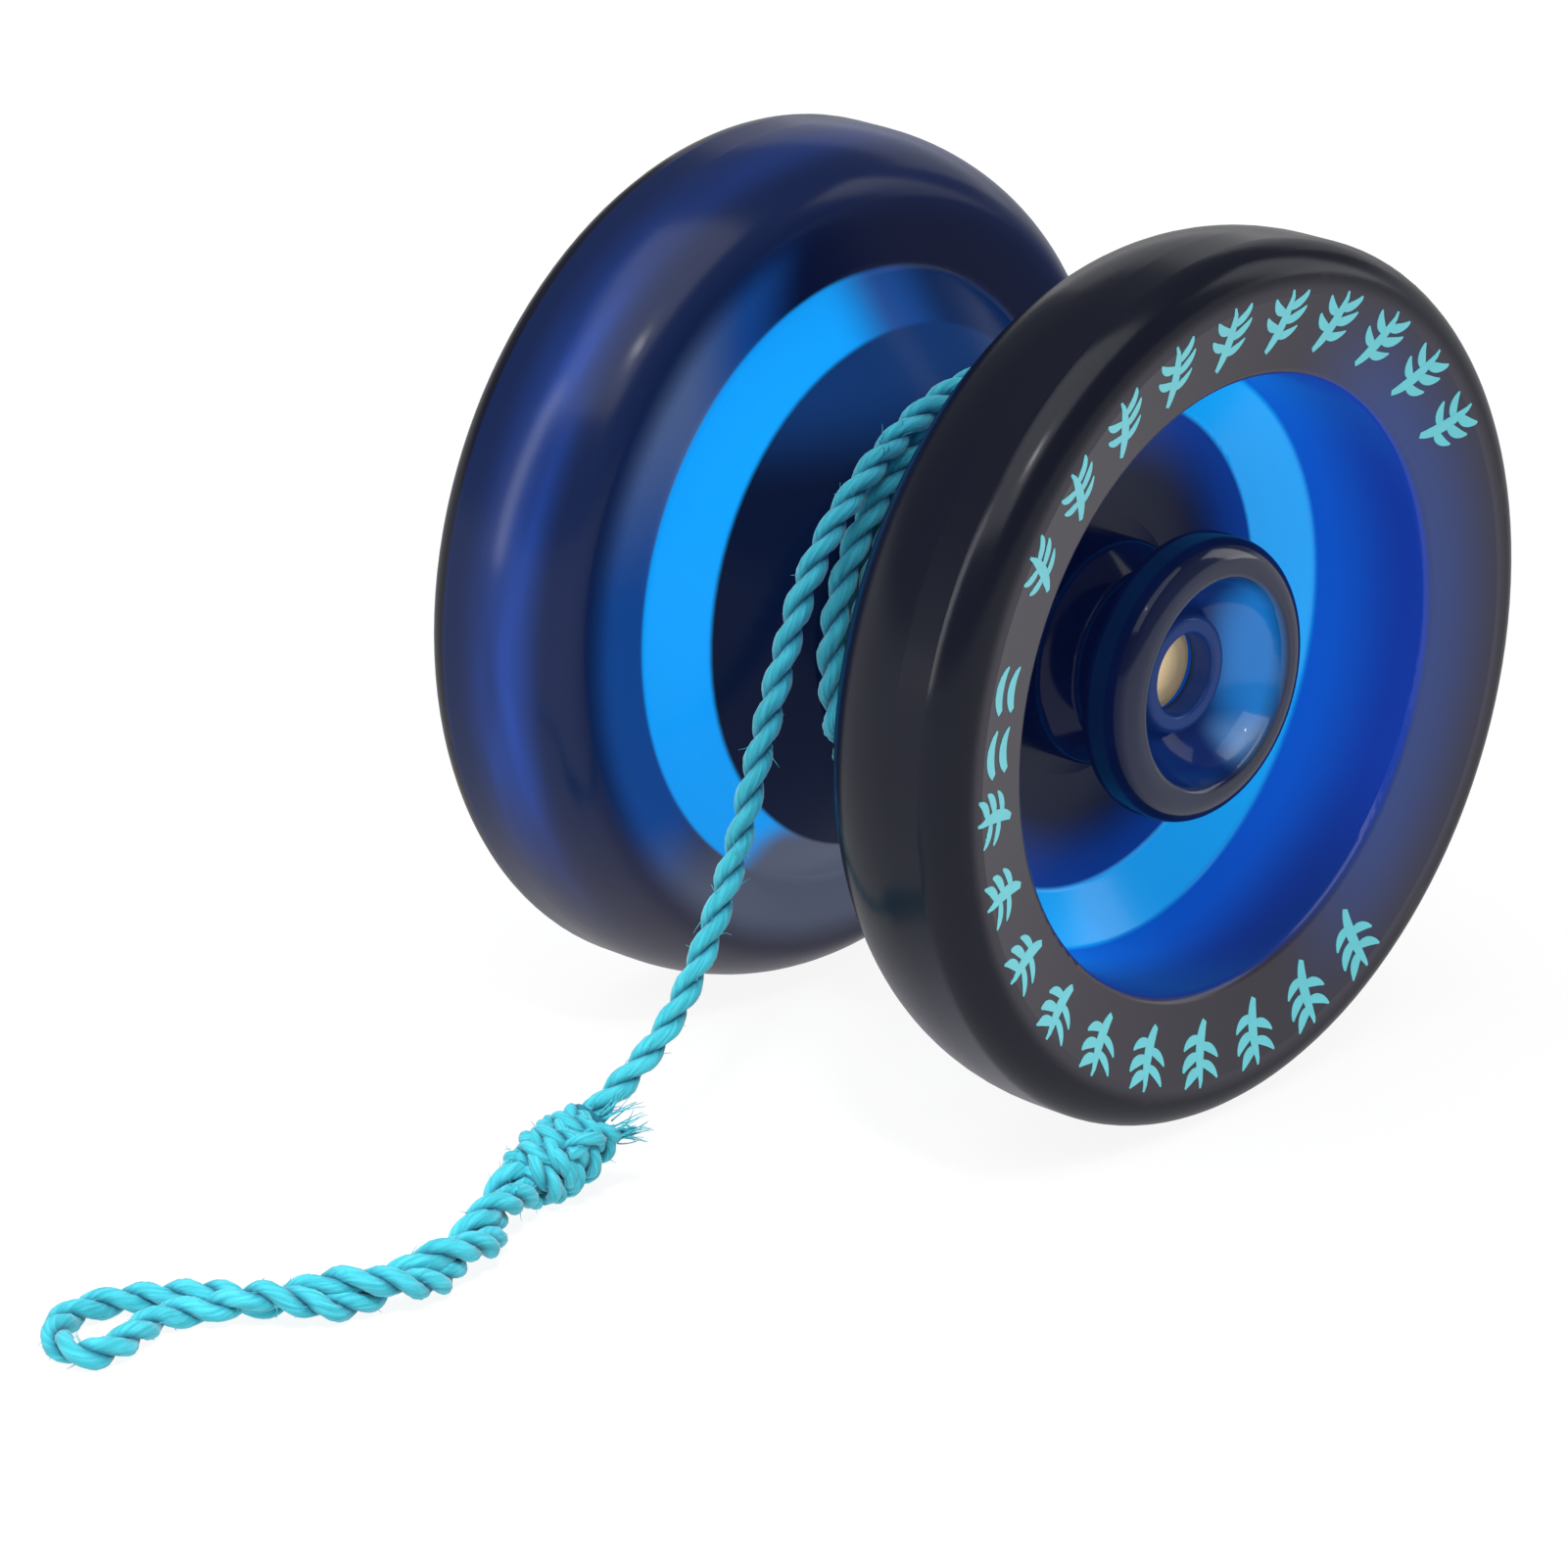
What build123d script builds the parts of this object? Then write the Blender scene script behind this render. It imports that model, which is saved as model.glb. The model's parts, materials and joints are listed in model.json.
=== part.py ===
from build123d import *

import math
import os

# Ball-bearing yo-yo: two moulded halves screwed together on an axle, with its string wound on.
#
# Millimetres. The axle lies along Y, half a at -Y and half b at +Y, and +Z is up. The origin is
# the middle of the axle, so the yo-yo stands on its two rims at z = -28. The string leaves
# towards -X and its finger loop lies on that same surface.
#
# Every turned piece is drawn as a half-section, x = distance from the axle and y = distance
# along it, for the +Y side, and mirrored where it belongs to half a.

# the whole yo-yo
DIAMETER = 56.0
WIDTH = 43.8
GAP = 4.5
OUTER_R = DIAMETER / 2
FACE_Y = WIDTH / 2
GAP_Y = GAP / 2
STAND_Z = -OUTER_R

# half shell: gap wall, conical web, heavy rim, open cup
WALL_END_R = 12.0
WEB_R = 20.1
WEB_Y = 10.2
RIM_SHOULDER_R = 24.0
RIM_CREST_Y = 17.2
RIM_CORNER = 2.4
FACE_LAND = 0.7
CUP_MOUTH_R = 19.6
CUP_MOUTH_Y = 20.45
CUP_FOOT_R = 18.85
CUP_FOOT_Y = 12.05
CUP_FLOOR_R = 15.7
CUP_FLOOR_Y = 9.5
HUB_LAND_R = 8.4
HUB_LAND_Y = 8.8
BOSS_R = 4.2
BOSS_Y = 14.2

# response pad and its groove in the gap wall
PAD_INNER_R = 7.3
PAD_OUTER_R = 9.6
PAD_GROOVE_DEPTH = 1.05
PAD_THICKNESS = 1.0
PAD_FIT = 0.05

# ball bearing, 1/4 x 1/2 x 3/16 inch
BORE_R = 3.175
RACE_R = 6.35
BEARING_Y = 4.762 / 2
PITCH_R = 4.7625
BALL_R = 0.794
BALL_COUNT = 8
BALL_CLEARANCE = 0.036
INNER_SHOULDER_R = 4.15
OUTER_SHOULDER_R = 5.35
SHIELD_SEAT_R = 5.8
SHIELD_Y = 1.95
SHIELD_THICKNESS = 0.2
SHIELD_CLEARANCE = 0.15
SNAP_RING_THICKNESS = 0.18
SNAP_RING_DEPTH = 0.2
SNAP_RING_MOUTH = 1.2
CAGE_CLEARANCE = 0.12
CAGE_FINGER_Y = 0.55
CAGE_BACK_Y = 1.3
CAGE_MOUTH = 1.3
CAGE_POCKET_CLEARANCE = 0.05

# bearing recess, bearing seat and threaded insert in each half
RECESS_R = 6.65
RECESS_Y = 2.75
SEAT_FLANGE_R = 4.25
SEAT_FLANGE_Y = 3.2
SEAT_TIP_Y = 0.15
SEAT_TIP_CHAMFER = 0.25
SEAT_BORE_CLEARANCE = 0.07
INSERT_R = 3.0
INSERT_END_Y = 15.0
INSERT_BORE_Y = 10.6
INSERT_DRILL_POINT = 1.0
INSERT_GROOVES_Y = (5.6, 8.4)
INSERT_GROOVE_WIDTH = 0.9
INSERT_GROOVE_DEPTH = 0.3
FIT = 0.02

# axle: M4 set screw, 20 mm, hexagon socket 2 mm across flats
AXLE_R = 1.98
AXLE_LENGTH = 20.0
AXLE_CHAMFER = 0.4
SOCKET_FLATS = 2.0
SOCKET_DEPTH = 2.2

# hub: a waisted spool pressed on the boss in the cup
HUB_FOOT_R = 7.2
HUB_FOOT_Y = 11.0
HUB_WAIST_R = 5.3
HUB_WAIST_LOW_Y = 12.5
HUB_WAIST_HIGH_Y = 14.1
HUB_FLANGE_R = 9.07
HUB_FLANGE_Y = 16.0
HUB_TOP_Y = 19.45
HUB_LIP_R = 6.7
HUB_EYE_R = 3.78
HUB_EYE_Y = 16.9
HUB_DISH_Y = 15.9
HUB_DISH_MIDDLE = (5.1, 16.8)
HUB_HOLE_R = 2.6
HUB_BORE_Y = 15.15

# string: a twisted cord, wound on the bearing, with a knotted finger loop
STRING_D = 1.8
WINDING_R = 13.2
WINDING_Y = 1.9
WINDING_CORNER = 0.45
TOP_TURN_R = 14.8
TOP_TURN_Y = 0.9
TOP_TURN_CORNER = 0.7
LOOP_STRAND_D = 1.8
LEG_D = 3.3
KNOT_HALF_LENGTH = 4.2
KNOT_R = 2.7
KNOT_HEIGHT = 2.8

# middle line of the string from the top of the winding to the knot
LEAD_ROUTE = [
    (-5.6, 0.0, 14.7),
    (-9.9, 0.0, 12.4),
    (-13.8, 0.0, 9.4),
    (-16.4, 0.0, 6.0),
    (-18.4, 0.0, 1.5),
    (-20.7, 0.0, -4.6),
    (-22.8, 0.0, -10.4),
    (-25.4, 0.0, -15.3),
    (-28.5, 0.1, -19.5),
    (-31.9, 0.3, -21.8),
    (-35.0, 0.6, -23.5),
]

# middle line of the two strands twisted together, from the knot to the eye
LEG_ROUTE = [
    (-40.3, 1.2, -25.9),
    (-45.2, -1.1, -26.3),
    (-50.5, -3.6, -26.3),
    (-56.2, -3.2, -26.3),
    (-60.6, -0.6, -26.3),
    (-63.9, 3.2, -26.4),
]

# middle line of the eye, out along one strand and back along the other
EYE_ROUTE = [
    (-63.6, 4.4, -26.5),
    (-65.1, 7.2, -27.05),
    (-68.2, 9.0, -27.05),
    (-71.6, 8.9, -27.05),
    (-73.6, 6.4, -27.05),
    (-73.0, 3.8, -27.05),
    (-70.5, 4.0, -27.05),
    (-68.2, 4.7, -27.05),
    (-66.2, 5.0, -27.05),
    (-64.7, 3.8, -27.05),
]


def save(piece, name):
    """Label the piece and write it as parts/NAME.step."""
    piece.part.label = name
    export_step(piece.part, f"parts/{name}.step")


def round_corners(sketch, corners):
    """Round corners of the sketch in hand, each given as (point, radius)."""
    for point, radius in corners:
        fillet(sketch.vertices().sort_by_distance(point)[0], radius)


def turned(section, side):
    """Revolve a half-section about the axle, on the +Y side (1) or the -Y side (-1)."""
    with BuildPart() as piece:
        revolve(section.sketch, axis=Axis.Y)
        if side < 0:
            mirror(about=Plane.XZ, mode=Mode.REPLACE)
    return piece


def ring_section(inner_r, outer_r, low_y, high_y):
    """A plain rectangular half-section."""
    with BuildSketch() as section:
        with Locations(((inner_r + outer_r) / 2, (low_y + high_y) / 2)):
            Rectangle(outer_r - inner_r, high_y - low_y)
    return section


def shell_section():
    """Half shell: bearing recess, pad groove, web, rim, face, cup and boss."""
    face_corner_y = FACE_Y - RIM_CORNER
    land_r = OUTER_R - RIM_CORNER
    with BuildSketch() as section:
        with BuildLine():
            Polyline(
                (SEAT_FLANGE_R, RECESS_Y),
                (RECESS_R, RECESS_Y),
                (RECESS_R, GAP_Y),
                (PAD_INNER_R, GAP_Y),
                (PAD_INNER_R, GAP_Y + PAD_GROOVE_DEPTH),
                (PAD_OUTER_R, GAP_Y + PAD_GROOVE_DEPTH),
                (PAD_OUTER_R, GAP_Y),
                (WALL_END_R, GAP_Y),
                (WEB_R, WEB_Y),
                (RIM_SHOULDER_R, WEB_Y),
            )
            EllipticalCenterArc(
                (RIM_SHOULDER_R, RIM_CREST_Y),
                OUTER_R - RIM_SHOULDER_R,
                RIM_CREST_Y - WEB_Y,
                start_angle=-90,
                arc_size=90,
            )
            Line((OUTER_R, RIM_CREST_Y), (OUTER_R, face_corner_y))
            CenterArc((land_r, face_corner_y), RIM_CORNER, 0, 90)
            Polyline(
                (land_r, FACE_Y),
                (land_r - FACE_LAND, FACE_Y),
                (CUP_MOUTH_R, CUP_MOUTH_Y),
                (CUP_FOOT_R, CUP_FOOT_Y),
                (CUP_FLOOR_R, CUP_FLOOR_Y),
                (HUB_LAND_R, HUB_LAND_Y),
                (BOSS_R, HUB_LAND_Y),
                (BOSS_R, BOSS_Y),
                (INSERT_R, BOSS_Y),
                (INSERT_R, SEAT_FLANGE_Y),
                (SEAT_FLANGE_R, SEAT_FLANGE_Y),
                (SEAT_FLANGE_R, RECESS_Y),
            )
        make_face()
        round_corners(
            section,
            [
                ((WALL_END_R, GAP_Y), 1.5),
                ((WEB_R, WEB_Y), 1.0),
                ((CUP_MOUTH_R, CUP_MOUTH_Y), 0.7),
                ((CUP_FOOT_R, CUP_FOOT_Y), 0.6),
                ((CUP_FLOOR_R, CUP_FLOOR_Y), 0.6),
            ],
        )
    return section


def hub_section():
    """Waisted spool with a thick rounded lip, a dished top and a raised eye round its hole."""
    bore_r = BOSS_R + FIT
    with BuildSketch() as section:
        with BuildLine():
            Polyline(
                (bore_r, HUB_BORE_Y),
                (bore_r, HUB_LAND_Y),
                (HUB_FOOT_R, HUB_LAND_Y),
                (HUB_FOOT_R, HUB_FOOT_Y),
                (HUB_WAIST_R, HUB_WAIST_LOW_Y),
                (HUB_WAIST_R, HUB_WAIST_HIGH_Y),
                (HUB_FLANGE_R, HUB_FLANGE_Y),
                (HUB_FLANGE_R, HUB_TOP_Y),
                (HUB_LIP_R, HUB_TOP_Y),
            )
            ThreePointArc((HUB_LIP_R, HUB_TOP_Y), HUB_DISH_MIDDLE, (HUB_EYE_R, HUB_DISH_Y))
            Polyline(
                (HUB_EYE_R, HUB_DISH_Y),
                (HUB_EYE_R, HUB_EYE_Y),
                (HUB_HOLE_R, HUB_EYE_Y),
                (HUB_HOLE_R, HUB_BORE_Y),
                (bore_r, HUB_BORE_Y),
            )
        make_face()
        round_corners(
            section,
            [
                ((HUB_FOOT_R, HUB_FOOT_Y), 0.7),
                ((HUB_WAIST_R, HUB_WAIST_LOW_Y), 0.7),
                ((HUB_WAIST_R, HUB_WAIST_HIGH_Y), 0.9),
                ((HUB_FLANGE_R, HUB_FLANGE_Y), 1.2),
                ((HUB_FLANGE_R, HUB_TOP_Y), 1.6),
                ((HUB_LIP_R, HUB_TOP_Y), 0.5),
                ((HUB_EYE_R, HUB_EYE_Y), 0.4),
                ((HUB_HOLE_R, HUB_EYE_Y), 0.3),
            ],
        )
    return section


def insert_section():
    """Blind brass insert: smooth bore, two retaining grooves and a crowned closed end."""
    outer_r = INSERT_R - FIT / 2
    with BuildSketch() as section:
        Polygon(
            (AXLE_R + FIT, SEAT_FLANGE_Y),
            (outer_r, SEAT_FLANGE_Y),
            (outer_r, INSERT_END_Y),
            (0, INSERT_END_Y),
            (0, INSERT_BORE_Y + INSERT_DRILL_POINT),
            (AXLE_R + FIT, INSERT_BORE_Y),
            align=None,
        )
        for groove_y in INSERT_GROOVES_Y:
            with Locations((outer_r, groove_y)):
                Rectangle(2 * INSERT_GROOVE_DEPTH, INSERT_GROOVE_WIDTH, mode=Mode.SUBTRACT)
        round_corners(section, [((outer_r, INSERT_END_Y), 0.8)])
    return section


def seat_section():
    """Bearing seat: a sleeve inside the inner race on a flange let into the shell."""
    post_r = BORE_R - FIT / 2
    bore_r = AXLE_R + SEAT_BORE_CLEARANCE
    with BuildSketch() as section:
        Polygon(
            (bore_r, SEAT_TIP_Y),
            (post_r, SEAT_TIP_Y),
            (post_r, BEARING_Y),
            (SEAT_FLANGE_R - FIT, BEARING_Y),
            (SEAT_FLANGE_R - FIT, SEAT_FLANGE_Y),
            (bore_r, SEAT_FLANGE_Y),
            align=None,
        )
        tip_corner = section.vertices().sort_by_distance((post_r, SEAT_TIP_Y))[0]
        chamfer(tip_corner, SEAT_TIP_CHAMFER)
    return section


def pad_section():
    """Silicone response pad, its face just below the gap wall."""
    bottom_y = GAP_Y + PAD_GROOVE_DEPTH
    return ring_section(
        PAD_INNER_R + PAD_FIT, PAD_OUTER_R - PAD_FIT, bottom_y - PAD_THICKNESS, bottom_y
    )


def race_section(shoulder_r, wall_r):
    """Inner or outer race, with the ball groove cut into its shoulder."""
    inner_r, outer_r = sorted((shoulder_r, wall_r))
    with BuildSketch() as section:
        add(ring_section(inner_r, outer_r, -BEARING_Y, BEARING_Y).sketch)
        with Locations((PITCH_R, 0)):
            Circle(BALL_R + BALL_CLEARANCE, mode=Mode.SUBTRACT)
    return section


def outer_race():
    """Outer race, stepped at both ends for the shields and grooved for their snap rings."""
    snap_y = SHIELD_Y + SHIELD_THICKNESS
    with BuildSketch() as section:
        add(race_section(OUTER_SHOULDER_R, RACE_R).sketch)
        for side in (-1, 1):
            step_y = side * (SHIELD_Y + BEARING_Y) / 2
            with Locations(((OUTER_SHOULDER_R + SHIELD_SEAT_R) / 2, step_y)):
                Rectangle(
                    SHIELD_SEAT_R - OUTER_SHOULDER_R, BEARING_Y - SHIELD_Y, mode=Mode.SUBTRACT
                )
            with Locations((SHIELD_SEAT_R, side * (snap_y + SNAP_RING_THICKNESS / 2))):
                Rectangle(2 * SNAP_RING_DEPTH, SNAP_RING_THICKNESS, mode=Mode.SUBTRACT)
    return turned(section, 1)


def balls():
    """The ring of bearing balls."""
    with BuildPart(Plane.XZ) as ring:
        with PolarLocations(PITCH_R, BALL_COUNT):
            Sphere(BALL_R)
    return ring


def cage():
    """Crown cage: a ring beside the balls with fingers between them."""
    finger_plane = Plane.XZ.offset(-CAGE_FINGER_Y)
    with BuildPart(Plane.XZ) as ring:
        with BuildSketch(finger_plane):
            Circle(OUTER_SHOULDER_R - CAGE_CLEARANCE)
            Circle(INNER_SHOULDER_R + CAGE_CLEARANCE, mode=Mode.SUBTRACT)
        extrude(amount=CAGE_FINGER_Y + CAGE_BACK_Y)
        with PolarLocations(PITCH_R, BALL_COUNT):
            Sphere(BALL_R + CAGE_POCKET_CLEARANCE, mode=Mode.SUBTRACT)
        with BuildSketch(finger_plane):
            with PolarLocations(PITCH_R, BALL_COUNT):
                Rectangle(2 * BALL_R, CAGE_MOUTH)
        extrude(amount=CAGE_FINGER_Y, mode=Mode.SUBTRACT)
    return ring


def snap_ring(side):
    """C-shaped snap ring in the outer race's groove."""
    inner_r = SHIELD_SEAT_R - SNAP_RING_DEPTH
    outer_r = SHIELD_SEAT_R + SNAP_RING_DEPTH
    low_y = SHIELD_Y + SHIELD_THICKNESS
    section = ring_section(inner_r, outer_r, low_y, low_y + SNAP_RING_THICKNESS)
    with BuildPart() as ring:
        add(turned(section, side).part)
        with Locations((0, side * low_y, outer_r)):
            Box(
                SNAP_RING_MOUTH,
                4 * SNAP_RING_THICKNESS,
                6 * SNAP_RING_DEPTH,
                mode=Mode.SUBTRACT,
            )
    return ring


def axle():
    """Set screw: chamfered both ends, with a hexagon socket in the -Y end."""
    half_length = AXLE_LENGTH / 2
    with BuildPart() as screw:
        Cylinder(AXLE_R, AXLE_LENGTH, rotation=(90, 0, 0))
        chamfer(screw.edges().filter_by(GeomType.CIRCLE), AXLE_CHAMFER)
        with BuildSketch(Plane.XZ.offset(half_length)):
            RegularPolygon(SOCKET_FLATS / 2, 6, major_radius=False)
        extrude(amount=-SOCKET_DEPTH, mode=Mode.SUBTRACT)
    return screw


def winding():
    """Outer shape of the wound string: paired turns, and one last turn along the top."""
    with BuildSketch() as section:
        Polygon(
            (RACE_R, -WINDING_Y),
            (WINDING_R, -WINDING_Y),
            (WINDING_R, -TOP_TURN_Y),
            (TOP_TURN_R, -TOP_TURN_Y),
            (TOP_TURN_R, TOP_TURN_Y),
            (WINDING_R, TOP_TURN_Y),
            (WINDING_R, WINDING_Y),
            (RACE_R, WINDING_Y),
            align=None,
        )
        for side_y in (-1, 1):
            round_corners(
                section,
                [
                    ((WINDING_R, side_y * WINDING_Y), WINDING_CORNER),
                    ((TOP_TURN_R, side_y * TOP_TURN_Y), TOP_TURN_CORNER),
                ],
            )
    return turned(section, 1)


def bend_radii(route):
    """The largest tangent arc that each corner of a route leaves room for."""
    points = [Vector(*point) for point in route]
    radii = []
    for before, corner, after in zip(points, points[1:], points[2:]):
        arriving = corner - before
        leaving = after - corner
        half_turn = math.radians(arriving.get_angle(leaving)) / 2
        radii.append(0.45 * min(arriving.length, leaving.length) / math.tan(half_turn))
    return radii


def tube(route, diameter, name):
    """A round cord along a route of straight runs joined by tangent arcs."""
    radii = bend_radii(route)
    with BuildPart() as cord:
        with BuildLine():
            path = FilletPolyline(*route, radius=radii)
        with BuildSketch(Plane(origin=path @ 0, z_dir=path % 0)):
            Circle(diameter / 2)
        sweep(path=path)
    expected = math.pi * (diameter / 2) ** 2 * path.length
    print(f"{name}: length {path.length:.1f} mm, volume {cord.part.volume:.1f} of {expected:.1f}")
    print("  bend radii", [round(radius, 1) for radius in radii])
    return cord


def knot():
    """Outer shape of the slip knot, an egg between the end of the lead and the leg."""
    lead_end = Vector(*LEAD_ROUTE[-1])
    leg_start = Vector(*LEG_ROUTE[0])
    middle = (lead_end + leg_start) * 0.5
    middle.Z = STAND_Z + KNOT_HEIGHT
    length_wise = leg_start - lead_end
    upright = Plane(origin=middle, x_dir=length_wise, z_dir=length_wise.cross(Vector(0, 0, 1)))
    with BuildSketch(upright) as section:
        with BuildLine():
            EllipticalCenterArc((0, 0), KNOT_HALF_LENGTH, KNOT_R, start_angle=0, arc_size=180)
            Line((-KNOT_HALF_LENGTH, 0), (KNOT_HALF_LENGTH, 0))
        make_face()
    with BuildPart() as egg:
        revolve(section.sketch, axis=Axis(upright.origin, upright.x_dir))
    return egg


def save_half(half, side):
    """The five pieces that each half is assembled from."""
    save(turned(shell_section(), side), f"{half}_shell")
    save(turned(hub_section(), side), f"{half}_hub")
    save(turned(insert_section(), side), f"{half}_threaded_insert")
    save(turned(seat_section(), side), f"{half}_bearing_seat")
    save(turned(pad_section(), side), f"{half}_response_pad")


def save_bearing():
    """The shielded ball bearing in the middle of the axle."""
    save(turned(race_section(INNER_SHOULDER_R, BORE_R), 1), "bearing_inner_race")
    save(outer_race(), "bearing_outer_race")
    save(balls(), "bearing_balls")
    save(cage(), "bearing_cage")
    shield = ring_section(
        INNER_SHOULDER_R + SHIELD_CLEARANCE,
        SHIELD_SEAT_R - FIT,
        SHIELD_Y,
        SHIELD_Y + SHIELD_THICKNESS,
    )
    for letter, side in (("a", -1), ("b", 1)):
        save(turned(shield, side), f"bearing_shield_{letter}")
        save(snap_ring(side), f"bearing_snap_ring_{letter}")


def save_string():
    """The string: winding, lead, knot and the two parts of the finger loop."""
    save(winding(), "string_winding")
    save(tube(LEAD_ROUTE, STRING_D, "string_lead"), "string_lead")
    save(knot(), "string_knot")
    save(tube(LEG_ROUTE, LEG_D, "finger_loop_leg"), "finger_loop_leg")
    save(tube(EYE_ROUTE, LOOP_STRAND_D, "finger_loop_eye"), "finger_loop_eye")


os.makedirs("parts", exist_ok=True)
save_half("half_a", -1)
save_half("half_b", 1)
save(axle(), "axle")
save_bearing()
save_string()
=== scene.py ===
import json
import math
import random

import bpy
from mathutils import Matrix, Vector, noise

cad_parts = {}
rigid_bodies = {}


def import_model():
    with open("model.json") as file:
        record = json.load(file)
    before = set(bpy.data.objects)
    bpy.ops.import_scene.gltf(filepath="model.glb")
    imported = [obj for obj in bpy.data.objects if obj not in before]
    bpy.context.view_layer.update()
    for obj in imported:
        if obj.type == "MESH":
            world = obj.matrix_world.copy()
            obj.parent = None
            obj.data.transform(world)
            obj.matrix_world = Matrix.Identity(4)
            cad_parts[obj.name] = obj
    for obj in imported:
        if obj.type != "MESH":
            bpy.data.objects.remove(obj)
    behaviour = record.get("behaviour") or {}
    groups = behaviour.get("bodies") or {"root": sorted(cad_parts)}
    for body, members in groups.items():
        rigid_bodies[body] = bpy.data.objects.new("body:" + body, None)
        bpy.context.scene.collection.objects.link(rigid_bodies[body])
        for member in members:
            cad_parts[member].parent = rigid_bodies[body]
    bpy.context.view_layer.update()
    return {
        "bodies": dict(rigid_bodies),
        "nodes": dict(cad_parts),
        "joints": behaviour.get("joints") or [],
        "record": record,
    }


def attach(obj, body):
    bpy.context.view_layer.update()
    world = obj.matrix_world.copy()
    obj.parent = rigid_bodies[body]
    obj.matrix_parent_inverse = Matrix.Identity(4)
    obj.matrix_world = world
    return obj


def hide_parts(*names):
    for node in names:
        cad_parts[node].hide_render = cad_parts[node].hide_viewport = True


# Looks of the yo-yo: materials on the CAD pieces, the printed faces, and the twisted string with
# its knot and finger loop. Lengths are millimetres until a mesh is made, when MM turns them to
# metres. Only the lights' places and sizes are in metres from the start.

MM = 0.001

# printed face of a half: it rises from the cup's mouth to a crest and is flat from there
FACE_MOUTH_R = 19.6
FACE_MOUTH_Y = 20.45
FACE_CREST_R = 24.9
FACE_Y = 21.9

# print: each stroke is its start, bend and end as (across the ring, out from the axle), and its width
PRINT_R = 23.3
PRINT_LIFT = 0.035
PRINT_DEPTH = 0.03
STROKE_PARTS = 12
SPRIG = [
    ((-0.8, -2.0), (0.3, -0.7), (0.2, 2.0), 0.80),
    ((0.1, 0.9), (1.1, 0.9), (1.6, 1.9), 0.66),
    ((0.1, 0.0), (1.3, 0.0), (1.8, 0.9), 0.66),
    ((-0.2, -0.9), (0.8, -1.2), (1.6, -0.4), 0.60),
    ((0.1, 0.5), (-0.9, 0.6), (-1.3, 1.6), 0.60),
    ((-0.1, -0.5), (-1.1, -0.5), (-1.6, 0.4), 0.60),
]
CHEVRON = [
    ((-1.4, -1.4), (0.0, -0.2), (1.4, -1.4), 0.95),
    ((-1.4, 0.2), (0.0, 1.4), (1.4, 0.2), 0.95),
]
# first angle, last angle and count of the sprigs in each arc
SPRIG_ARCS = [(146.0, 32.5, 10), (-176.5, -59.5, 10)]
CHEVRON_ANGLES = (164.0, 173.5)

# any cord: two plies, with a grain that turns as it runs along them and swells them here and there
PLY_R_SHARE = 0.285
PLY_SIDES = 14
GRAIN_TURN = 0.9
GRAIN_ALONG = 0.22
GRAIN_SHIFT = 7.3
SWELL = 0.16
SWELL_SCALE = 1.7
RIPPLE = 0.05
RIPPLE_SCALE = 5.0

# loose fibres: fuzz lies along a cord, and a fray fans out from one place
DICE_SEED = 11
HAIR_SIDES = 4
HAIR_JOINTS = 5
HAIR_TAPER = 0.7
HAIR_CREST = 0.9
FUZZ_R = 0.035
FUZZ_ROOT_SHARE = 0.36
FUZZ_LENGTH = (0.3, 0.9)
FUZZ_OUTWARD = (0.3, 0.9)
FUZZ_ALONG = (0.5, 1.2)
FUZZ_SAG = (-0.5, 0.5)
FRAY_R = 0.06
FRAY_ROOT_SPREAD = 0.22
FRAY_LENGTH_SHARE = (0.5, 1.0)
FRAY_SAG = (-0.35, 0.35)

# string: winding turns in pairs on the bearing, then one on top of them, then the lead to the knot
STRING_D = 1.8
STRING_PITCH = 4.9
STRING_STEP = 0.3
TURN_POINTS = 16
TURN_LAYERS = 4
FIRST_TURN_R = 7.25
LAYER_RISE = 1.68
TURN_SIDE_Y = 0.95
TURN_SHIFT_SHARE = 0.3
TOP_TURN_R = 13.9
LEAVING_R = 15.73
LEAVING_ANGLE = math.radians(110.9)
LEAD_FUZZ_POINTS = 190
LEAD_ROUTE = [
    (-5.6, 0.0, 14.7),
    (-9.9, 0.0, 12.4),
    (-13.8, 0.0, 9.4),
    (-16.4, 0.0, 6.0),
    (-18.4, 0.0, 1.5),
    (-20.7, 0.0, -4.6),
    (-22.8, 0.0, -10.4),
    (-25.4, 0.0, -15.3),
    (-28.5, 0.1, -19.5),
    (-31.9, 0.3, -21.8),
    (-35.0, 0.6, -23.5),
]
# frayed places on the lead: root, direction, spread, and the fibres' count and length
LEAD_FRAYS = [
    ((-22.6, -0.4, -9.6), (-0.8, -0.3, 0.5), 0.3, 7, 1.3),
    ((-9.3, -0.5, 13.3), (-0.5, -0.2, 0.9), 0.3, 5, 0.9),
]

# slip knot
KNOT_MIDDLE = Vector((-37.7, 0.7, -25.25))
KNOT_LENGTH = 5.6
KNOT_STRAND_D = 1.4
KNOT_PITCH = 3.4
KNOT_CORE_R = 1.3
KNOT_CORE_SIDES = 16
KNOT_REACH = 2.4
KNOT_FUZZ_D = 1.2 * KNOT_STRAND_D
KNOT_END_R = 0.8
KNOT_WRAPS = 4
WRAP_POINTS = 30
WRAP_STEP = 0.2
WRAP_LEAN_TURN = 0.8
TAIL_ROUTE = [
    (-38.6, -0.9, -24.2),
    (-37.4, -1.4, -23.6),
    (-36.3, -1.3, -23.6),
    (-35.4, -1.2, -23.9),
    (-34.9, -1.5, -24.0),
]
# as on the lead, but the tail's own fray has its root at the tail's end
TAIL_FRAY = ((0.75, -0.65, 0.1), 0.22, 46, 1.9)
MOUTH_FRAY = ((-35.1, -0.6, -23.2), (0.9, -0.3, 0.4), 0.2, 14, 2.6)

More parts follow.
